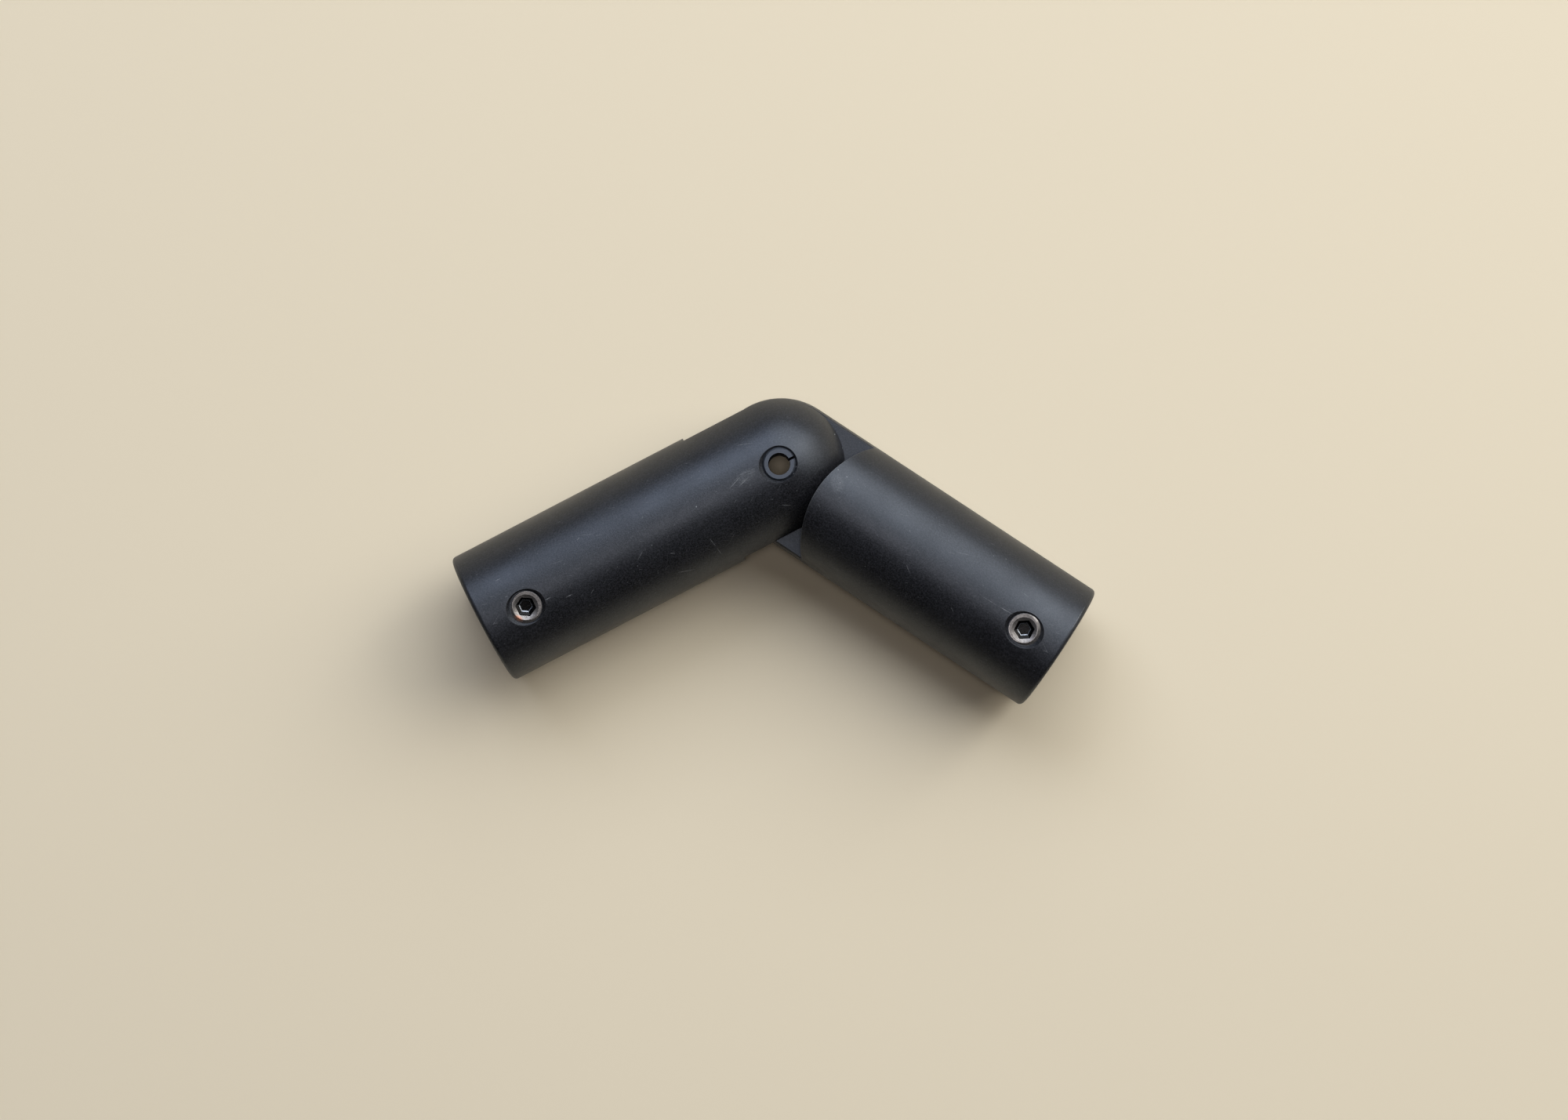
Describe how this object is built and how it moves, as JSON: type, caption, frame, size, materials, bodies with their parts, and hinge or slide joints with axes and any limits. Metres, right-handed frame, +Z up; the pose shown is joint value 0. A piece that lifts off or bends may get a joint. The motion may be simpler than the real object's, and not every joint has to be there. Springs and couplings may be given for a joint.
{
  "type": "tube swivel joint",
  "caption": "Swivelling tube joint in black plastic: socket barrels hinged by a fork and tongue on a slotted spring pin, with hexagon-socket set screws near their mouths.",
  "frame": {"origin": "middle of the base of the bounding box, on the surface that the joint lies on", "axes": "+Z up along the hinge pin, +X from the fork half's side to the tongue half's side, +Y towards the knuckle, on the outside of the bend"},
  "size_m": [0.1172, 0.0536, 0.025],
  "materials": {
    "black_acetal": "turned and milled black acetal, satin, fine grain, light scratches",
    "pin_steel": "rolled spring steel, dulled, dark bluish grey",
    "screw_steel": "blackened steel worn to grey-brown, with a trace of rust"
  },
  "bodies": {
    "fork": {"fork_half": "black_acetal"},
    "tongue": {"tongue_half": "black_acetal", "spring_pin": "pin_steel"},
    "fork_screw": {"fork_set_screw": "screw_steel"},
    "tongue_screw": {"tongue_set_screw": "screw_steel"}
  },
  "joints": [
    {"name": "knuckle_hinge", "type": "hinge", "parent": "fork", "child": "tongue", "pos_m": [0, 0.01453, 0.0125], "axis": [0, 0, 1], "range_deg": [-29.2, 150.8]},
    {"name": "fork_screw_travel", "type": "slide", "parent": "fork", "child": "fork_screw", "axis": [-0.0748, 0.1275, -0.989], "range_m": [-0.002, 0.002]},
    {"name": "tongue_screw_travel", "type": "slide", "parent": "tongue", "child": "tongue_screw", "axis": [0.0309, 0.0527, -0.9981], "range_m": [-0.002, 0.002]}
  ]
}
